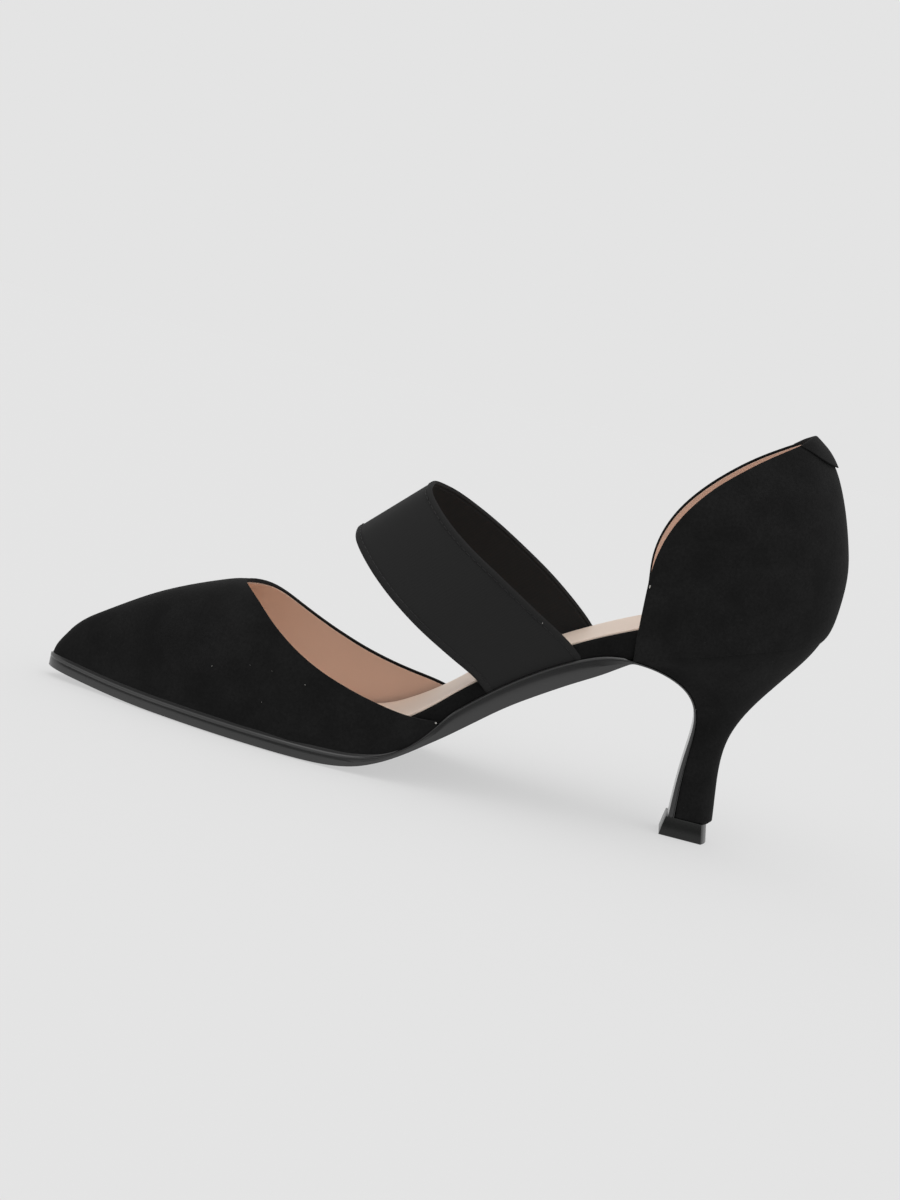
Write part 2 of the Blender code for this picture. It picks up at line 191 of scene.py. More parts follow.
PROFILE = table("x insole_top sole_top sole_bottom", (
    (3, 77.6, 72.4, 70.0),
    (20, 74.9, 69.8, 65.0),
    (35, 70.8, 65.0, 60.0),
    (50, 65.8, 58.0, 54.0),
    (60, 61.4, 52.8, 50.7),
    (63, 60.0, 52.7, 48.2),
    (67, 58.1, 51.9, 45.6),
    (75, 53.8, 48.4, 40.8),
    (82, 49.7, 44.6, 36.3),
    (92, 43.1, 37.9, 29.6),
    (101, 36.4, 30.6, 22.3),
    (108, 30.4, 24.0, 16.6),
    (113, 25.6, 17.0, 12.9),
    (118, 21.4, 11.6, 9.2),
    (126, 15.6, 6.9, 4.4),
    (135, 10.6, 4.9, 1.0),
    (145, 8.3, 4.4, 0.0),
    (200, 7.8, 4.4, 0.0),
    (215, 8.2, 4.8, 0.5),
    (228, 9.2, 5.8, 1.6),
    (242, 10.8, 7.4, 3.2),
))

HEEL = table("back_x back_z breast_x breast_z half nose flap flare", (
    (22.6, 6.5, 36.5, 6.5, 6.9, 0.42, 2.3, 0.0),
    (22.9, 11.0, 36.6, 12.0, 6.5, 0.45, 2.0, 0.0),
    (23.7, 17.0, 36.6, 19.0, 6.1, 0.50, 1.7, 0.0),
    (24.5, 23.5, 36.2, 26.5, 6.0, 0.55, 1.4, 0.0),
    (24.5, 31.5, 35.6, 33.5, 6.4, 0.60, 1.0, 0.1),
    (22.3, 38.7, 36.0, 38.8, 7.8, 0.66, 0.75, 0.4),
    (18.8, 45.3, 38.3, 44.0, 11.0, 0.72, 0.6, 1.3),
    (14.5, 51.7, 43.1, 48.1, 15.5, 0.78, 0.55, 2.5),
    (9.9, 58.2, 50.2, 50.9, 20.5, 0.83, 0.55, 3.0),
    (5.5, 64.7, 55.6, 51.7, 24.5, 0.86, 0.6, 1.2),
    (3.2, 69.8, 58.6, 51.7, 26.1, 0.88, 0.8, 0.0),
))


def slopes(xs, ys):
    """Slopes of a smooth curve through the points that doesn't overshoot them."""
    steps = [(ys[i + 1] - ys[i]) / (xs[i + 1] - xs[i]) for i in range(len(xs) - 1)]
    result = [steps[0]]
    for left, right in zip(steps[:-1], steps[1:]):
        result.append(0.0 if left * right <= 0 else 2 * left * right / (left + right))
    result.append(steps[-1])
    return result


def at(columns, name, value, key="x"):
    """Read a column smoothly between its rows."""
    xs = columns[key]
    ys = columns[name]
    value = min(max(value, xs[0]), xs[-1])
    i = max(j for j in range(len(xs) - 1) if xs[j] <= value)
    span = xs[i + 1] - xs[i]
    t = (value - xs[i]) / span
    ends = slopes(xs, ys)
    return ((2 * t**3 - 3 * t**2 + 1) * ys[i] + (t**3 - 2 * t**2 + t) * span * ends[i]
            + (3 * t**2 - 2 * t**3) * ys[i + 1] + (t**3 - t**2) * span * ends[i + 1])


def toe_factor(x, margin):
    if x <= TOE_ROUND_START:
        return 1.0
    share = min((x - TOE_ROUND_START) / (INSOLE_TIP + margin - TOE_ROUND_START), 1.0)
    return math.sqrt(1.0 - share * share)


def edge(x, side, margin):
    """The y of the sole's plan outline, a margin outside the insole, on one side."""
    half = (at(OUTLINE, "half", x) + margin) * toe_factor(x, margin)
    return at(OUTLINE, "centre", x) + side * half


def spaced(start, end, count, ease=None):
    """Values from start to end, crowded together at the start, the end or neither."""
    shares = [i / (count - 1) for i in range(count)]
    if ease == "start":
        shares = [1 - math.cos(s * math.pi / 2) for s in shares]
    if ease == "end":
        shares = [math.sin(s * math.pi / 2) for s in shares]
    return [start + (end - start) * s for s in shares]


def waist_stations():
    """Section places from the heel's breast to the toe, closer where the sole thins."""
    waist = spaced(61.5, 105, 10)
    step = spaced(108, 127, 8)
    return waist + step + spaced(132, TOE_ROUND_START, 13)


def work_on(piece):
    """Select one object alone, so that an operator acts on nothing else."""
    bpy.ops.object.select_all(action="DESELECT")
    piece.select_set(True)
    bpy.context.view_layer.objects.active = piece


def sheet(name, rows):
    """A grid whose points are set on rows of places on the shoe, x measured from its back.
    Its outer face is the one from which the rows run to the left of one another."""
    bpy.ops.object.select_all(action="DESELECT")
    bpy.ops.mesh.primitive_grid_add(x_subdivisions=len(rows[0]) - 1,
                                    y_subdivisions=len(rows) - 1, size=1)
    piece = bpy.context.object
    piece.name = name
    places = [place for row in rows for place in reversed(row)]
    for vertex, place in zip(piece.data.vertices, places, strict=True):
        vertex.co = (Vector(place) - MIDDLE) * MM
    return piece


def weld(piece, cap=False):
    """Merge what lies together and, if asked, close the open ends and turn every face outwards.
    """
    work_on(piece)
    bpy.ops.object.mode_set(mode="EDIT")
    bpy.ops.mesh.select_all(action="SELECT")
    bpy.ops.mesh.remove_doubles(threshold=0.01 * MM)
    if cap:
        bpy.ops.mesh.select_all(action="DESELECT")
        bpy.ops.mesh.select_mode(type="EDGE")
        bpy.ops.mesh.select_non_manifold()
        bpy.ops.mesh.fill_holes(sides=0)
        bpy.ops.mesh.select_all(action="SELECT")
        bpy.ops.mesh.normals_make_consistent(inside=False)
    bpy.ops.object.mode_set(mode="OBJECT")


def loft(name, rings):
    """A closed solid through a row of rings of points."""
    piece = sheet(name, [ring + ring[:1] for ring in rings])
    weld(piece, cap=True)
    return piece


def modify(piece, kind, **settings):
    """Give a piece one modifier with its settings and apply it."""
    work_on(piece)
    modifier = piece.modifiers.new(kind.lower(), kind)
    for setting, value in settings.items():
        setattr(modifier, setting, value)
    bpy.ops.object.modifier_apply(modifier=modifier.name)


def smooth(piece, levels):
    modify(piece, "SUBSURF", levels=levels, render_levels=levels,
           boundary_smooth="PRESERVE_CORNERS")


def round_edges(piece, width, angle=40, segments=2):
    modify(piece, "BEVEL", width=width * MM, segments=segments, limit_method="ANGLE",
           angle_limit=math.radians(angle), use_clamp_overlap=True)


def crease(piece, angle, amount):
    """Mark the edges that turn by more than an angle, so that smoothing keeps them."""
    work_on(piece)
    bpy.ops.object.mode_set(mode="EDIT")
    bpy.ops.mesh.select_mode(type="EDGE")
    bpy.ops.mesh.select_all(action="DESELECT")
    bpy.ops.mesh.edges_select_sharp(sharpness=math.radians(angle))
    bpy.ops.transform.edge_crease(value=amount)
    bpy.ops.object.mode_set(mode="OBJECT")


def complete(piece, made, slot, *nodes):
    """Give a piece its material and smooth shading, hang it under the root body, and hide the
    model's nodes that it stands for.
    """
    piece.data.materials.clear()
    piece.data.materials.append(made)
    work_on(piece)
    bpy.ops.object.shade_smooth_by_angle(angle=math.radians(40))
    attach(piece, "root")
    if nodes:
        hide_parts(*nodes)


def breast_line(spare=0.0):
    """The back of the sole's flap, or a line that lies a little further into the heel."""
    outer = list(zip(HEEL["breast_x"], HEEL["breast_z"]))
    result = []
    for i, (x, z) in enumerate(outer):
        before = outer[max(i - 1, 0)]
        after = outer[min(i + 1, len(outer) - 1)]
        along = (after[0] - before[0], after[1] - before[1])
        share = (HEEL["flap"][i] + spare) / math.hypot(*along)
        result.append((x - along[1] * share, z + along[0] * share))
    return result


def sole_rings():
    """Rings of points round the sole, from the foot of the flap to the toe."""
    stations = []
    for i, inner in enumerate(breast_line()):
        outer = (HEEL["breast_x"][i], HEEL["breast_z"][i])
        half = HEEL["half"][i] + HEEL["flare"][i] + 0.05
        if i == 0:
            inner, outer = [(x, z - FLAP_SINK) for x, z in (inner, outer)]
            half -= 0.25
        stations.append((inner, outer, half, half, 0.3, 0.0, 0.0))
    main = waist_stations()
    main += spaced(TOE_ROUND_START, INSOLE_TIP + SOLE_MARGIN - 0.2, 7, "end")[1:]
    for x in main:
        waist = min(max((x - 100) / 20, 0.0), 1.0)
        margin = WAIST_SOLE_MARGIN + (SOLE_MARGIN - WAIST_SOLE_MARGIN) * waist
        top = (x, at(PROFILE, "sole_top", x))
        bottom = (x, at(PROFILE, "sole_bottom", x))
        halves = [abs(edge(x, side, margin) - at(OUTLINE, "centre", x)) for side in (1, -1)]
        forefoot = min(max((x - 116) / 18, 0.0), 1.0)
        rise = RIM_RISE * forefoot * min(halves[0] / 8, 1.0)
        stations.append((top, bottom, halves[0], halves[1], 0.5, at(OUTLINE, "centre", x), rise))
    rings = []
    for top, bottom, medial, lateral, bevel, middle, rise in stations:
        depth = math.hypot(top[0] - bottom[0], top[1] - bottom[1])
        lift = min(0.25, depth * 0.1) / depth
        rim = min(RIM_HEIGHT, depth * 0.2)
        steeper = 0.2 * rise
        recess = (RIM_DEPTH - steeper) * rim / RIM_HEIGHT
        ring = []
        for side, half in ((1, medial), (-1, lateral)):
            narrow = min(half / 3, 1.0)
            wall = (
                (0.0, half * 0.5),
                (-rise / depth, half - 0.8 * narrow),
                (-0.95 * rise / depth, half - 0.55 * narrow),
                (0.0, half - 0.35 * narrow),
                (0.45 * rim / depth, half),
                (0.9 * rim / depth, half),
                (1.3 * rim / depth, half - recess * narrow),
                (0.5, half - 0.1 * recess * narrow),
                (1 - lift, half - (bevel - steeper) * narrow),
                (1.0, half - bevel - min(5.0, half * 0.4)),
            )
            corners = []
            for share, reach in wall:
                x = top[0] + (bottom[0] - top[0]) * share
                z = top[1] + (bottom[1] - top[1]) * share
                corners.append((x, middle + side * reach, z))
            ring += corners if side > 0 else corners[::-1]
        rings.append(ring)
    return rings


sole_finish = finish("waxed_black_sole_leather", Base_Color=colour("#121212"), Roughness=0.32,
                     IOR=1.5, Specular_IOR_Level=0.6, Coat_Weight=0.6, Coat_Roughness=0.15)
sole_place = node(sole_finish, "TexCoord", {})
sole_grain = node(sole_finish, "TexNoise", {"Scale": 900, "Detail": 4},
                  {"Vector": sole_place.outputs["Object"]})
sole_bump = node(sole_finish, "Bump", {"Strength": 0.08, "Distance": 0.1 * MM},
                 {"Height": sole_grain.outputs[0]})
feed(sole_finish, Normal=sole_bump.outputs["Normal"])

sole = loft("moulded_sole", sole_rings())
round_edges(sole, 0.15, angle=28)
smooth(sole, 2)
complete(sole, sole_finish, "outsole", "outsole")

# The heel is a hard core under a tight suede cover, fixed under the seat of the shoe.
WALL = 1.8
GAP = 0.3
SEAT_BOARD = 5.0
UPPER_MARGIN = WALL + GAP
HEEL_NOSE_END = 52.0
LIP_Z = 5.8

COUNTER_BACK = table("z x", (
    (70.0, 3.2),
    (73.0, 1.3),
    (78.4, 0.4),
    (87.9, 0.0),
    (94.0, 0.5),
    (101.4, 2.5),
    (109.0, 5.0),
    (117.5, 8.6),
    (123.1, 11.8),
    (127.5, 15.6),
    (131.0, 20.6),
))

COUNTER_FRONT = table("level x z outer_x outer_z inner_z", (
    (0.00, 58.6, 52.6, 0.0, 0.0, 0.0),
    (0.15, 59.3, 62.0, -0.6, 0.0, 0.0),
    (0.30, 59.8, 73.0, -0.3, 0.0, 0.0),
    (0.42, 60.0, 81.5, 0.65, 0.0, 0.0),
    (0.54, 58.7, 89.5, 0.8, 0.1, 0.0),
    (0.65, 54.9, 98.8, 0.6, 0.45, 0.0),
    (0.76, 48.9, 107.4, 0.3, 0.5, 0.0),
    (0.86, 41.2, 115.6, 0.0, 0.45, -0.6),
    (0.94, 32.6, 122.8, 0.0, 0.15, -0.75),
    (1.00, 24.0, 128.6, 0.0, 0.0, -0.45),
    (1.025, 20.6, 131.0, 0.0, 0.0, 0.0),
))

COUNTER_WIDTH = table("height half", (
    (0, 26.1),
    (8, 26.8),
    (20, 29.0),
    (32, 30.0),
    (45, 28.6),
    (55, 25.4),
    (64, 21.5),
))


def seam_height(x):
    """The slanted line where the counter stands on the heel."""
    start = (COUNTER_BACK["x"][0], COUNTER_BACK["z"][0])
    end = (COUNTER_FRONT["x"][0], COUNTER_FRONT["z"][0])
    share = (x - start[0]) / (end[0] - start[0])
    return start[1] + (end[1] - start[1]) * share


def nose_factor(x, back, end):
    """Rounds a heel's plan from nothing at its back to full width at the end of the nose."""
    if x >= end:
        return 1.0
    share = min(max((end - x) / (end - back), 0.0), 1.0)
    return math.sqrt(1.0 - share * share)


def heel_ring(back, front, half, nose, flare=0.0, count=17, inset=0.0, heights=None):
    """A heel section: flat at the breast, round at the back and flared towards the breast."""
    back = (back[0] + inset, back[1])
    half = half - inset
    nose_end = back[0] + (front[0] - back[0]) * nose
    ring = []
    for i in range(count):
        turn = -math.pi / 2 + math.pi * i / (count - 1)
        x = nose_end - (nose_end - back[0]) * math.cos(turn)
        y = half * math.sin(turn)
        ring.append([x, y])
    for share in (0.5, 1.0):
        x = nose_end + (front[0] - nose_end) * share
        y = half + flare * share ** 2
        ring = [[x, -y]] + ring + [[x, y]]
    result = []
    for x, y in ring:
        z = back[1] + (front[1] - back[1]) * (x - back[0]) / (front[0] - back[0])
        result.append((x, y, heights(x) if heights else z))
    return result


def heel_rings():
    """Sections of the heel, from the lip over the top piece to the seat under the foot."""
    fronts = breast_line(0.03)
    half = HEEL["half"][0]
    nose = HEEL["nose"][0]
    rings = [
        heel_ring((HEEL["back_x"][0] + 1.0, LIP_Z), (fronts[0][0], LIP_Z), half - 0.7, nose),
        heel_ring((HEEL["back_x"][0] - 0.2, LIP_Z + 1.3), (fronts[0][0], LIP_Z + 0.8), half,
                  nose),
    ]
    for i, front in enumerate(fronts[1:], 1):
        back = (HEEL["back_x"][i], HEEL["back_z"][i])
        rings.append(heel_ring(back, front, HEEL["half"][i], HEEL["nose"][i],
                               HEEL["flare"][i]))
    front = (57.6, fronts[-1][1])
    back = (HEEL["back_x"][-1], HEEL["back_z"][-1])
    inset = UPPER_MARGIN + 0.2
    half = HEEL["half"][-1]
    nose = HEEL["nose"][-1]
    rings.append(heel_ring(back, front, half, nose, inset=inset,
                           heights=lambda x: seam_height(x) - 0.15))
    rings.append(heel_ring(back, front, half, nose, inset=inset,
                           heights=lambda x: at(PROFILE, "insole_top", x) - SEAT_BOARD - GAP))
    return rings


def suede(name, deep, raised):
    """Black kid suede: a matt nap of short fibres, which catches light at a low angle."""
    made = finish(name, Base_Color=colour(deep), Roughness=1.0, Sheen_Weight=0.03,
                  Sheen_Roughness=0.5, Specular_IOR_Level=0.06)
    place = node(made, "TexCoord", {}).outputs["Object"]
    nap = node(made, "TexNoise", {"Scale": 1100, "Detail": 4, "Roughness": 0.7},
               {"Vector": place})
    brushed = node(made, "TexNoise", {"Scale": 90, "Detail": 3}, {"Vector": place})
    both = node(made, "Math", {}, {0: nap.outputs[0], 1: brushed.outputs[0]},
                operation="MULTIPLY")
    spread = node(made, "MapRange", {"From Min": 0.15, "From Max": 0.4},
                  {"Value": both.outputs[0]})
    mixed = node(made, "MixRGB", {"Color1": colour(deep), "Color2": colour(raised)},
                 {"Fac": spread.outputs[0]})
    specks = node(made, "TexVoronoi", {"Scale": 240}, {"Vector": place})
    fibre = node(made, "MapRange", {"From Min": 0.05, "From Max": 0.02, "To Max": 0.45},
                 {"Value": specks.outputs["Distance"]})
    flecked = node(made, "MixRGB", {"Color2": colour("#3c3c3c")},
                   {"Fac": fibre.outputs[0], "Color1": mixed.outputs[0]})
    bump = node(made, "Bump", {"Strength": 0.35, "Distance": 0.15 * MM},
                {"Height": nap.outputs[0]})
    feed(made, Base_Color=flecked.outputs[0], Normal=bump.outputs["Normal"])
    return made


heel = loft("covered_heel", heel_rings())
crease(heel, 30, 0.8)
smooth(heel, 2)
complete(heel, suede("black_heel_suede", "#191919", "#222222"), "heel_cover", "heel")

# The top piece is a hard dark rubber pad, nailed under the heel and ground flush with it.
TOP_PIECE_HEIGHT = 6.0
tip_rubber = finish("dark_top_piece_rubber", Base_Color=colour("#1a1b1a"), Roughness=0.26,
                    Specular_IOR_Level=0.4)
tip_place = node(tip_rubber, "TexCoord", {})
tip_grain = node(tip_rubber, "TexNoise", {"Scale": 1200, "Detail": 3},
                 {"Vector": tip_place.outputs["Object"]})
tip_bump = node(tip_rubber, "Bump", {"Strength": 0.1, "Distance": 0.1 * MM},
                {"Height": tip_grain.outputs[0]})
feed(tip_rubber, Normal=tip_bump.outputs["Normal"])


def top_piece_ring(z, front, corner, back, half):
    """A section with a flat front, flat sides, sharp rear corners and a shallow curved back."""
    ring = [(front, -half, z)]
    for i in range(9):
        y = half * (i / 4 - 1)
        ring.append((back + (corner - back) * (y / half) ** 2, y, z))
    return ring + [(front, half, z)]


tip = loft("rubber_top_piece", [
    top_piece_ring(0.0, 37.9, 24.5, 22.8, 7.4),
    top_piece_ring(TOP_PIECE_HEIGHT / 2, 37.5, 25.1, 23.4, 7.1),
    top_piece_ring(TOP_PIECE_HEIGHT, 37.0, 25.7, 24.0, 6.8),
])
round_edges(tip, 0.15, angle=30, segments=2)
complete(tip, tip_rubber, "top_piece", "top_piece")

# The insole is a board whose edge is wrapped in suede, with a sock of beige leather glued on
# top a little inside the edge.
SOCK_INSET = 0.5
SOCK_THICKNESS = 0.5
COUNTER_FRONT_X = 59.0


def board_stations():
    back = COUNTER_BACK["x"][0] + 0.8
    heel_stations = spaced(back + 0.25, 57.6, 14, "start")
    toe_stations = spaced(TOE_ROUND_START, INSOLE_TIP - 0.15, 7, "end")[1:]
    return heel_stations + [58.9] + waist_stations() + toe_stations


def board_half(x, side):
    back = COUNTER_BACK["x"][0] + 0.8
    middle = at(OUTLINE, "centre", x)
    return abs(edge(x, side, 0) - middle) * nose_factor(x, back, HEEL_NOSE_END)


def board_rings():
    rings = []
    for x in board_stations():
        on_heel = x < COUNTER_FRONT_X - 1
        top = at(PROFILE, "insole_top", x)
        bottom = top - SEAT_BOARD if on_heel else at(PROFILE, "sole_top", x) + GAP
        flare = 0.5 * nose_factor(x, COUNTER_BACK["x"][0], HEEL_NOSE_END) if on_heel else 0.0
        ring = []
        for side in (1, -1):
            middle = at(OUTLINE, "centre", x)
            half = board_half(x, side)
            round_over = min(0.8, half * 0.3)
            outer = (
                (half if on_heel else half + 1.0, bottom if on_heel else bottom - 2 * GAP),
                (half + flare, top - 0.8),
                (half + flare - round_over, top),
            )
            corners = [(x, middle + side * y, z) for y, z in outer]
            ring += corners if side > 0 else corners[::-1]
        rings.append(ring)
    return rings


def sock_rows():
    rows = []
    for x in board_stations()[1:-1]:
        middle = at(OUTLINE, "centre", x)
        top = at(PROFILE, "insole_top", x) + 0.05
        ends = [middle + side * max(board_half(x, side) - 0.8 - SOCK_INSET, 0.2)
                for side in (-1, 1)]
        rows.append([(x, ends[0] + (ends[1] - ends[0]) * i / 8, top) for i in range(9)])
    return rows


def wall(piece, thickness, inward=True):
    modify(piece, "SOLIDIFY", thickness=thickness * MM, offset=-1 if inward else 1)


def move_in(piece, distance):
    """Move a sheet along its own normals, inwards."""
    modify(piece, "DISPLACE", strength=-distance * MM, mid_level=0.0, direction="NORMAL")


board = loft("wrapped_insole_board", board_rings())
round_edges(board, 0.3)
smooth(board, 1)
complete(board, suede("black_insole_suede", "#151515", "#1d1d1d"), "insole", "insole")

sock_leather = finish("beige_sock_leather", Base_Color=colour("#eedac9"), Roughness=0.5)
sock_place = node(sock_leather, "TexCoord", {})
sock_grain = node(sock_leather, "TexNoise", {"Scale": 1500, "Detail": 4},
                  {"Vector": sock_place.outputs["Object"]})
sock_bump = node(sock_leather, "Bump", {"Strength": 0.15, "Distance": 0.1 * MM},
                 {"Height": sock_grain.outputs[0]})
feed(sock_leather, Normal=sock_bump.outputs["Normal"])
sock = sheet("sock_lining", sock_rows())
smooth(sock, 2)
wall(sock, SOCK_THICKNESS, inward=False)
round_edges(sock, 0.2)
complete(sock, sock_leather, "insole")

# The counter is a stiffened suede shell that holds the back of the heel. Its topline is
# folded inwards, and a beige leather lining is glued in just below the fold.
SUEDE_THICKNESS = 1.15
LINING_THICKNESS = 0.45
FOLD_DEPTH = 0.8
SINK = 0.3


def way_round(x, z):
    """How far round the counter a place is: 0 at the back seam and a quarter turn where the
    round of the heel ends."""
    back = at(COUNTER_BACK, "x", z, "z")
    share = (HEEL_NOSE_END - x) / (HEEL_NOSE_END - back)
    return math.acos(min(share, 1.0)) if share > 0 else math.pi / 2 - share


def counter_face(way, z, side):
    """A point on the counter's outside, by its way round, its height and its side."""
    span = HEEL_NOSE_END - at(COUNTER_BACK, "x", z, "z")
    turned = min(way, math.pi / 2)
    x = HEEL_NOSE_END - span * math.cos(turned) + span * (way - turned)
    half = at(COUNTER_WIDTH, "half", z - seam_height(x), "height") * math.sin(turned)
    return Vector((x, side * half, z))


def counter_outward(way, z, side):
    """The way out of the counter's face at a point."""
    up = counter_face(way, z, side) - counter_face(way, z - 0.5, side)
    forward = counter_face(way + 0.02, z, side) - counter_face(max(way - 0.02, 0.0), z, side)
    return up.cross(forward).normalized() * side


def counter_border(side, topline):
    """One side of the counter's topline or seam, as lengths, ways round and heights that
    start at the peak or at the back."""
    places = []
    for share in spaced(0, 1, 200, "end"):
        if topline:
            level = COUNTER_FRONT["level"][-1] * share
            x, z = [at(COUNTER_FRONT, name, level, "level") for name in "xz"]
            if side < 0:
                x += at(COUNTER_FRONT, "outer_x", level, "level")
                z += at(COUNTER_FRONT, "outer_z", level, "level")
            else:
                z += at(COUNTER_FRONT, "inner_z", level, "level")
        else:
            ends = COUNTER_FRONT["x"][0], COUNTER_BACK["x"][0]
            x = ends[0] + (ends[1] - ends[0]) * share
            z = seam_height(x)
        places.append((way_round(x, z), z))
    places.reverse()
    lengths = [0.0]
    for here, after in zip(places[:-1], places[1:]):
        step = counter_face(*after, side) - counter_face(*here, side)
        lengths.append(lengths[-1] + step.length)
    return table("length way z", [(a, *b) for a, b in zip(lengths, places)])


BORDERS = {(side, topline): counter_border(side, topline)
           for side in (1, -1) for topline in (True, False)}


def counter_column(side, length):
    """The way and height of the two ends of a line from the seam up to the topline, which it
    meets at a length from the peak."""
    share = length / BORDERS[side, True]["length"][-1]
    ends = []
    for topline in (False, True):
        border = BORDERS[side, topline]
        ends.append([at(border, name, share * border["length"][-1], "length")
                     for name in ("way", "z")])
    return ends[0], ends[1], side


def on_column(column, share):
    """A point of a column, 0 at the seam and 1 at the topline, and the way out there."""
    foot, top, side = column
    way, z = [start + (end - start) * share for start, end in zip(foot, top)]
    return counter_face(way, z, side), counter_outward(way, z, side)


def shortened(line, start, end):
    """The same number of points along a line whose ends are cut off by two lengths."""
    line = [Vector(point) for point in line]
    passed = [0.0]
    for here, ahead_of in zip(line[:-1], line[1:]):
        passed.append(passed[-1] + (ahead_of - here).length)
    result = []
    for length in passed:
        wanted = start + length * (1 - (start + end) / passed[-1])
        i = max(j for j in range(len(line) - 1) if passed[j] <= wanted)
        share = (wanted - passed[i]) / (passed[i + 1] - passed[i])
        result.append(line[i].lerp(line[i + 1], share))
    return result


def trimmed(rows, ends, lowest, highest):
    """A sheet's rows, drawn in at their ends, at the lowest row and at the highest row."""
    rows = [shortened(row, ends, ends) for row in rows]
    columns = [shortened(column, lowest, highest) for column in zip(*rows)]
    return [list(row) for row in zip(*columns)]


def counter_ring(column):
    """A section through the counter's wall: up its outside, over its rounded topline, down
    its inside and back across its foot."""
    outside = []
    inside = []
    top, outward = on_column(column, 1.0)
    length = (top - on_column(column, 0.0)[0]).length
    fold = min(FOLD_ROUND, 0.4 * length)
    for share in COUNTER_ROWS:
        if share == 1:
            share = 1 - fold / length if length else 1.0
        place, way_out = on_column(column, share)
        outside.append(place - Vector((0, 0, SINK * (1 - share) ** 4)))
        inside.append(outside[-1] - way_out * SUEDE_THICKNESS)
    down = (outside[-2] - outside[-1]).normalized() if length else Vector((0, 0, 0))
    over = [top - outward * SUEDE_THICKNESS * across + down * fold * drop
            for across, drop in ((0.15, 0.25), (0.5, 0.0), (0.85, 0.25))]
    under = [outside[0].lerp(inside[0], across) for across in (0.85, 0.5, 0.15)]
    return outside + over + inside[::-1] + under


COUNTER_ROWS = (0, 0.04, 0.11, 0.2, 0.3, 0.4, 0.5, 0.6, 0.7, 0.8, 0.88, 0.95, 1)
FOLD_ROUND = 0.5
counter_columns = []
for side in (-1, 1):
    whole = BORDERS[side, True]["length"][-1]
    lengths = spaced(0, whole - 1.0, 17) + [whole]
    counter_columns += [counter_column(side, length) for length in
                        (lengths[::-1] if side < 0 else lengths[1:])]
counter = loft("counter_suede", [counter_ring(column) for column in counter_columns])
crease(counter, 60, 0.8)
smooth(counter, 2)
complete(counter, suede("black_counter_suede", "#1a1a1a", "#242424"), "counter", "counter")

lining_leather = finish("beige_lining_leather", Base_Color=colour("#e6c4b0"), Roughness=0.55)
lining_place = node(lining_leather, "TexCoord", {})
lining_grain = node(lining_leather, "TexNoise", {"Scale": 1500, "Detail": 4},
                    {"Vector": lining_place.outputs["Object"]})
lining_bump = node(lining_leather, "Bump", {"Strength": 0.15, "Distance": 0.1 * MM},
                   {"Height": lining_grain.outputs[0]})
feed(lining_leather, Normal=lining_bump.outputs["Normal"])
counter_rows = [[on_column(column, share)[0] for column in counter_columns]
                for share in COUNTER_ROWS]
counter_lining = sheet("counter_lining", trimmed(counter_rows, 2.5, 0.4, FOLD_DEPTH))
smooth(counter_lining, 2)
move_in(counter_lining, SUEDE_THICKNESS)
wall(counter_lining, LINING_THICKNESS)
complete(counter_lining, lining_leather, "insole")

# A cap of the same suede is folded over the peak of the counter and covers the top of the back
# seam. It is glued down inside and outside, and its two ends are pared thin on the topline.
CAP_THICKNESS = 0.3
CAP_REACH = 16.3
CAP_TAPER = 12.0
CAP_LIFT = 0.25
CAP_SINK = 0.4

CAP_EDGE = table("length depth", (
    (0.0, 12.0),
    (4.5, 11.2),
    (8.75, 9.3),
    (11.25, 7.1),
    (13.5, 4.0),
    (15.0, 1.9),
    (16.3, 0.6),
))


def cap_section(length, side):
    """A line of points over the peak, from the cap's edge inside to its edge outside."""
    column = counter_column(side, length)
    line = [on_column(column, i / 40)[0] for i in range(41)]
    whole = sum((after - here).length for here, after in zip(line[:-1], line[1:]))
    depth = at(CAP_EDGE, "depth", length, "length")
    pared = max(length - CAP_TAPER, 0.0) / (CAP_REACH - CAP_TAPER)
    sunk = CAP_SINK * pared
    wall_depth = SUEDE_THICKNESS + (LINING_THICKNESS + 0.05) * (1 - pared)
    outside = []
    inside = []
    for place in shortened(line, whole - depth, min(FOLD_ROUND, depth / 2))[::8]:
        outward = counter_outward(way_round(place.x, place.z), place.z, side)
        outside.append(place + outward * (0.05 - sunk))
        inside.append(place - outward * (wall_depth - sunk))
    top, outward = on_column(column, 1.0)
    up = (line[-1] - line[-2]).normalized()
    over = [top - outward * SUEDE_THICKNESS * across + up * ((CAP_LIFT + sunk) * rise - 2 * sunk)
            for across, rise in ((1.0, 0.4), (0.5, 1.0), (0.0, 0.4))]
    return inside + over + outside[::-1]


cap_places = [(-16.3, -1), (-15, -1), (-13.5, -1), (-11.25, -1), (-8.75, -1), (-5.8, -1),
              (-2.9, -1), (0, 1), (2.9, 1), (5.8, 1), (8.75, 1), (11.25, 1), (13.5, 1),
              (15, 1), (16.3, 1)]
cap = sheet("peak_cap", [cap_section(abs(length), side) for length, side in cap_places])
smooth(cap, 2)
wall(cap, CAP_THICKNESS, inward=False)
round_edges(cap, 0.12)
complete(cap, suede("black_cap_suede", "#1b1b1b", "#262626"), "counter")

# The vamp is the toe of the upper, in the same suede, cut away low on both sides and lined
# with beige leather up to its folded topline.
THROAT_X = 184.5
VAMP_REAR_X = 111.0
NOSE_LEAN = 2.2

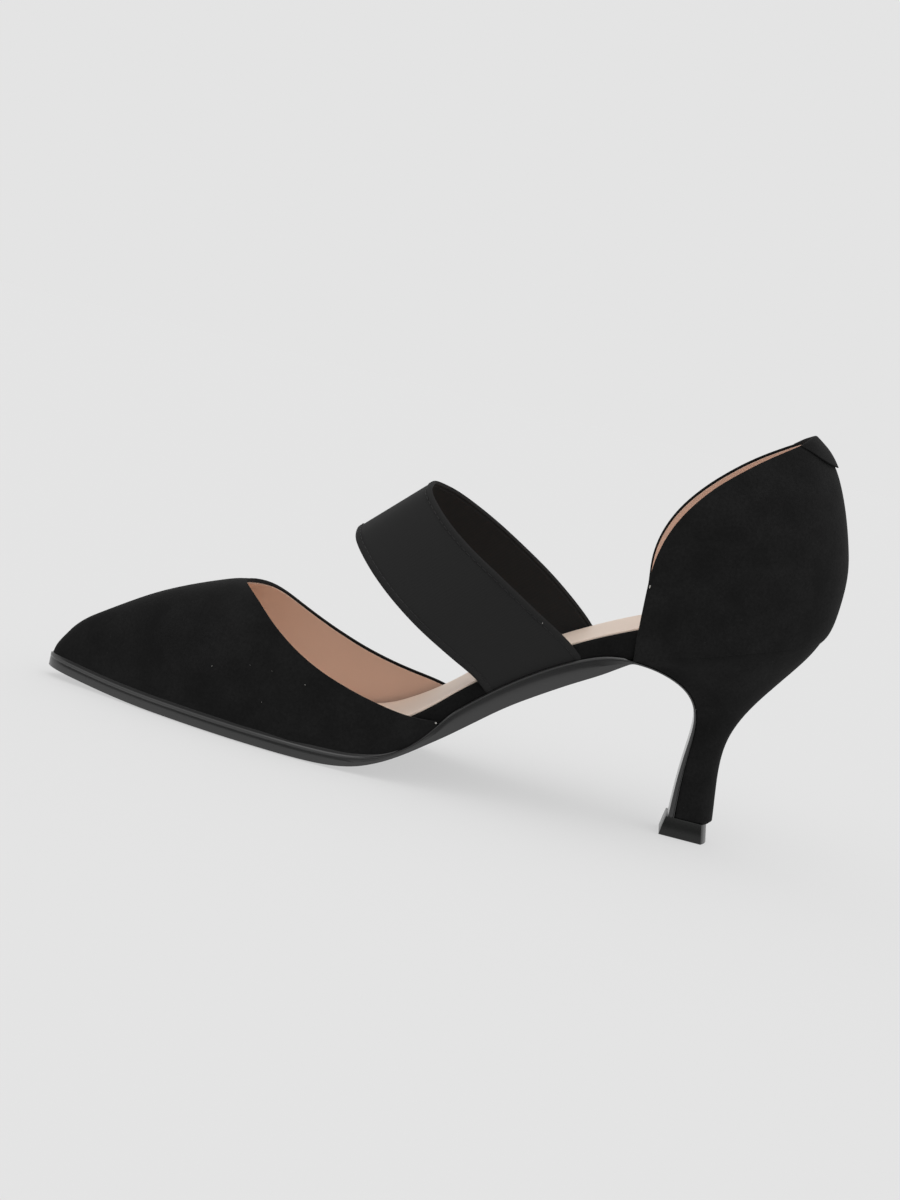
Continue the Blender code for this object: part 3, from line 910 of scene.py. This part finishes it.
LAST = table("x ridge_z ridge_y medial_topline lateral_topline", (
    (111, 106.0, 3.0, 20.9, 21.4),
    (118, 99.0, 3.2, 20.6, 23.2),
    (131, 88.0, 3.6, 22.6, 24.6),
    (145, 74.5, 3.8, 26.2, 27.6),
    (158, 62.5, 3.6, 31.6, 32.4),
    (170, 52.8, 3.2, 38.8, 39.0),
    (179, 48.0, 2.8, 44.8, 44.8),
    (184.5, 45.6, 2.6, 45.6, 45.6),
    (196, 41.1, 2.4, 41.1, 41.1),
    (210, 34.4, 2.2, 34.4, 34.4),
    (222, 26.6, 2.1, 26.6, 26.6),
    (232, 19.6, 2.2, 19.6, 19.6),
    (238, 14.8, 2.3, 14.8, 14.8),
    (240.4, 12.4, 2.3, 12.4, 12.4),
))


def vamp_point(x, side, share):
    """A point on the vamp's outside: share 0 at the sole and 1 at the topline or ridge."""
    foot = at(PROFILE, "sole_top", x) - SINK
    ridge = max(at(LAST, "ridge_z", x), foot + 2.0)
    rise = ridge - foot
    topline = at(LAST, "medial_topline" if side > 0 else "lateral_topline", x)
    reach = 1.0 if x >= THROAT_X else min(max((topline - foot) / rise, 0.001), 1.0)
    turn = math.asin(reach) * share
    ridge_y = at(LAST, "ridge_y", x)
    sole_y = edge(x, side, UPPER_MARGIN)
    middle = at(OUTLINE, "centre", x)
    if x > TOE_ROUND_START:
        blend = toe_factor(x, UPPER_MARGIN)
        ridge_y = middle + (ridge_y - middle) * blend
    swell = 1 + 0.03 * math.sin(2 * turn)
    x -= NOSE_LEAN * (math.sin(turn) * max(x - TOE_ROUND_START, 0.0) / (INSOLE_TIP
                                                                   - TOE_ROUND_START)) ** 2
    y = ridge_y + (sole_y - ridge_y) * math.cos(turn) ** 0.78 * swell
    return x, y, foot + rise * math.sin(turn)


def join_sides(sides):
    """Make one welded sheet of the two sides of the vamp."""
    bpy.ops.object.select_all(action="DESELECT")
    for side in sides:
        side.select_set(True)
    bpy.context.view_layer.objects.active = sides[0]
    bpy.ops.object.join()
    weld(sides[0])
    return sides[0]


def vamp_sheet(name):
    """Both sides of the vamp, joined along the ridge in front of the throat."""
    tip = INSOLE_TIP + UPPER_MARGIN
    stations = spaced(VAMP_REAR_X, THROAT_X, 15)
    stations += spaced(THROAT_X, TOE_ROUND_START, 8)[1:]
    stations += spaced(TOE_ROUND_START, tip, 8, "end")[1:]
    return join_sides([
        sheet(name, [[vamp_point(x, side, j / 10) for x in stations[::side]] for j in range(11)])
        for side in (1, -1)])


def lining_sheet(name):
    """The vamp's lining, open along a line that lies a fold's depth below the topline."""
    stations = spaced(VAMP_REAR_X + FOLD_DEPTH, THROAT_X + FOLD_DEPTH, 15)
    stations += spaced(THROAT_X + FOLD_DEPTH, TOE_ROUND_START - 6, 8)[1:]
    sides = []
    for side in (1, -1):
        columns = []
        for x in stations[::side]:
            opened = x < THROAT_X + FOLD_DEPTH / 2
            column = [vamp_point(x, side, j / 10) for j in range(11)]
            columns.append(shortened(column, FOLD_DEPTH, FOLD_DEPTH if opened else 0.0))
        sides.append(sheet(name, [list(row) for row in zip(*columns)]))
    return join_sides(sides)


vamp = vamp_sheet("vamp_suede")
smooth(vamp, 2)
wall(vamp, SUEDE_THICKNESS)
round_edges(vamp, 0.5, segments=3)
complete(vamp, suede("black_vamp_suede", "#191919", "#222222"), "vamp", "vamp")
vamp_lining = lining_sheet("vamp_lining")
smooth(vamp_lining, 2)
move_in(vamp_lining, SUEDE_THICKNESS)
wall(vamp_lining, LINING_THICKNESS)
complete(vamp_lining, lining_leather, "insole")

# The band is wide woven elastic, folded under along both edges, and caught between the
# insole and the outsole on each side of the foot.
BAND_THICKNESS = 1.1
HEM_WIDTH = 0.9
HEM_RISE = 0.25
GROOVE_DEPTH = 0.12
STITCH_LINE = 1.25
STITCH_LENGTH = 1.6
STITCH_PITCH = 2.3
STITCH_RADIUS = 0.12

BAND = table("step rear_x rear_y rear_z front_x front_y front_z", (
    (0, 74.0, 23.5, 49.6, 98.4, 26.8, 33.6),
    (1, 80.0, 24.0, 53.4, 103.3, 28.3, 37.2),
    (2, 92.0, 26.7, 60.4, 112.0, 30.7, 41.8),
    (3, 103.0, 28.0, 66.9, 122.4, 31.6, 47.4),
    (4, 115.0, 25.0, 73.4, 133.6, 28.2, 54.2),
    (5, 125.6, 18.4, 80.6, 143.4, 21.4, 61.4),
    (6, 131.6, 9.4, 86.4, 149.8, 12.2, 67.2),
    (7, 132.0, -0.4, 88.6, 151.2, 1.6, 69.4),
    (8, 126.8, -10.6, 87.0, 147.0, -9.4, 67.8),
    (9, 116.4, -19.4, 82.0, 137.4, -19.4, 62.2),
    (10, 104.0, -25.4, 74.9, 125.0, -27.2, 54.4),
    (11, 90.4, -26.4, 66.6, 112.0, -31.0, 46.2),
    (12, 77.4, -24.0, 57.2, 101.0, -28.3, 39.0),
    (13, 70.6, -23.4, 51.6, 94.4, -25.9, 36.2),
))


def band_edges(step):
    """The rear and the front edge of the band at one step of its way over the foot."""
    edges = [Vector([at(BAND, part + axis, step, "step") for axis in "xyz"])
             for part in ("rear_", "front_")]
    return edges


def band_place(share, step):
    """A place across the band, 0 at its rear edge and 1 at its front. Both ends are drawn in
    to the sole's edge, under the insole."""
    rear, front = band_edges(step)
    end, side = (0, 1) if step < BAND["step"][-1] / 2 else (BAND["step"][-1], -1)
    foot_rear, foot_front = band_edges(end)
    start = foot_rear.lerp(foot_front, share)
    foot = Vector((start.x, edge(start.x, side, -0.3), at(PROFILE, "sole_top", start.x) - SINK))
    pull = max(1 - abs(step - end) / 1.4, 0.0) ** 2
    return rear.lerp(front, share) + (foot - start) * pull


def band_outward(step):
    """The way out of the band's face at one step."""
    rear, front = band_edges(step)
    before, after = [band_edges(min(max(step + move, 0.01), BAND["step"][-1] - 0.01))
                     for move in (-0.2, 0.2)]
    return (after[0] + after[1] - before[0] - before[1]).cross(front - rear).normalized()


def band_row(step):
    """Points across the band: a raised hem, a groove, the flat web, a groove and a hem."""
    rear, front = band_edges(step)
    width = (front - rear).length
    outward = band_outward(step)
    rim = ((0.0, 0.1), (0.25, 1.0), (0.8, 1.0), (1.0, 0.3))
    near = [(HEM_WIDTH * place, HEM_RISE * rise) for place, rise in rim]
    near += [(HEM_WIDTH + 0.25, -GROOVE_DEPTH), (HEM_WIDTH + 0.6, 0.0)]
    flat = [(width * share, 0.0) for share in (0.15, 0.3, 0.5, 0.7, 0.85)]
    far = [(width - place, rise) for place, rise in reversed(near)]
    return [band_place(place / width, step) + outward * rise
            for place, rise in near + flat + far]


elastic = finish("black_woven_elastic", Base_Color=colour("#212121"), Roughness=0.85,
                 Specular_IOR_Level=0.25)
elastic_place = node(elastic, "TexCoord", {}).outputs["UV"]
ribs = node(elastic, "TexWave", {"Scale": 60, "Distortion": 0.4, "Detail": 1},
            {"Vector": elastic_place}, bands_direction="Y")
weave_size = node(elastic, "Mapping", {"Scale": (26, 190, 1)}, {"Vector": elastic_place})
weave = node(elastic, "TexNoise", {"Scale": 2.5, "Detail": 2},
             {"Vector": weave_size.outputs[0]})
web = node(elastic, "Math", {}, {0: ribs.outputs["Fac"], 1: weave.outputs[0]},
           operation="MULTIPLY")
tone = node(elastic, "MixRGB", {"Color1": colour("#212121"), "Color2": colour("#252525")},
            {"Fac": web.outputs[0]})
elastic_bump = node(elastic, "Bump", {"Strength": 0.08, "Distance": 0.1 * MM},
                    {"Height": web.outputs[0]})
feed(elastic, Base_Color=tone.outputs[0], Normal=elastic_bump.outputs["Normal"])
band_steps = spaced(0, BAND["step"][-1], 40)
band = sheet("elastic_band", [band_row(step) for step in band_steps])
smooth(band, 2)
wall(band, BAND_THICKNESS, inward=False)
round_edges(band, 0.2)
complete(band, elastic, "band", "instep_band")


def stitch_places(part):
    """Places a stitch's pitch apart along one edge of the band, each with its direction."""
    places = []
    passed = 0.0
    last = None
    for step in spaced(0.05, BAND["step"][-1] - 0.05, 3000):
        edges = band_edges(step)
        width = (edges[1] - edges[0]).length
        share = STITCH_LINE / width
        point = band_place(share if part == 0 else 1 - share, step)
        point += band_outward(step) * (BAND_THICKNESS + STITCH_RADIUS * 0.3)
        passed += (point - last).length if last else STITCH_PITCH
        if passed >= STITCH_PITCH:
            passed = 0.0
            places.append((point, (point - last).normalized() if last else None))
        last = point
    return places[1:]


thread = finish("black_polyester_thread", Base_Color=colour("#121212"), Roughness=0.6)
thread_place = node(thread, "TexCoord", {})
thread_twist = node(thread, "TexNoise", {"Scale": 3000, "Detail": 1},
                    {"Vector": thread_place.outputs["Object"]})
thread_bump = node(thread, "Bump", {"Strength": 0.3, "Distance": 0.05 * MM},
                   {"Height": thread_twist.outputs[0]})
feed(thread, Normal=thread_bump.outputs["Normal"])
bpy.ops.object.select_all(action="DESELECT")
stitches = []
for place, along in stitch_places(0) + stitch_places(1):
    bpy.ops.mesh.primitive_cylinder_add(vertices=6, radius=STITCH_RADIUS * MM,
                                        depth=STITCH_LENGTH * MM)
    stitch = bpy.context.object
    stitch.matrix_world = (Matrix.Translation((place - MIDDLE) * MM)
                           @ along.to_track_quat("Z", "Y").to_matrix().to_4x4())
    stitches.append(stitch)
for stitch in stitches:
    stitch.select_set(True)
bpy.ops.object.join()
bpy.ops.object.transform_apply()
band_stitches = bpy.context.object
band_stitches.name = "band_stitches"
complete(band_stitches, thread, "band")

# A few specks of pale dust have settled on the suede of the vamp, on the band and on the front
# edge of the counter.
DUST = table("x y z radius height", (
    (111.4, 31.8, 20.6, 0.32, 0.28),
    (152.2, 34.3, 22.4, 0.11, 0.12),
    (163.3, 32.1, 23.6, 0.08, 0.08),
    (164.0, 33.0, 13.8, 0.08, 0.09),
    (170.6, 30.3, 23.4, 0.08, 0.08),
    (182.5, 27.3, 19.7, 0.11, 0.11),
    (87.7, 27.0, 57.2, 0.19, 0.19),
    (59.2, 29.5, 75.8, 0.20, 0.55),
))

dust = finish("pale_dust", Base_Color=colour("#b9b7b2"), Roughness=0.95)
dust_place = node(dust, "TexCoord", {})
dust_fluff = node(dust, "TexNoise", {"Scale": 6000, "Detail": 2},
                  {"Vector": dust_place.outputs["Object"]})
dust_bump = node(dust, "Bump", {"Strength": 0.5, "Distance": 0.1 * MM},
                 {"Height": dust_fluff.outputs[0]})
feed(dust, Normal=dust_bump.outputs["Normal"])
bpy.ops.object.select_all(action="DESELECT")
specks = []
for x, y, z, radius, height in zip(*DUST.values()):
    bpy.ops.mesh.primitive_ico_sphere_add(subdivisions=2, radius=radius * MM,
                                          location=(Vector((x, y, z)) - MIDDLE) * MM,
                                          scale=(1, 0.8, height / radius))
    specks.append(bpy.context.object)
for speck in specks:
    speck.select_set(True)
bpy.ops.object.join()
bpy.ops.object.transform_apply()
dust_specks = bpy.context.object
dust_specks.name = "dust_specks"
complete(dust_specks, dust, None)

bpy.context.view_layer.update()
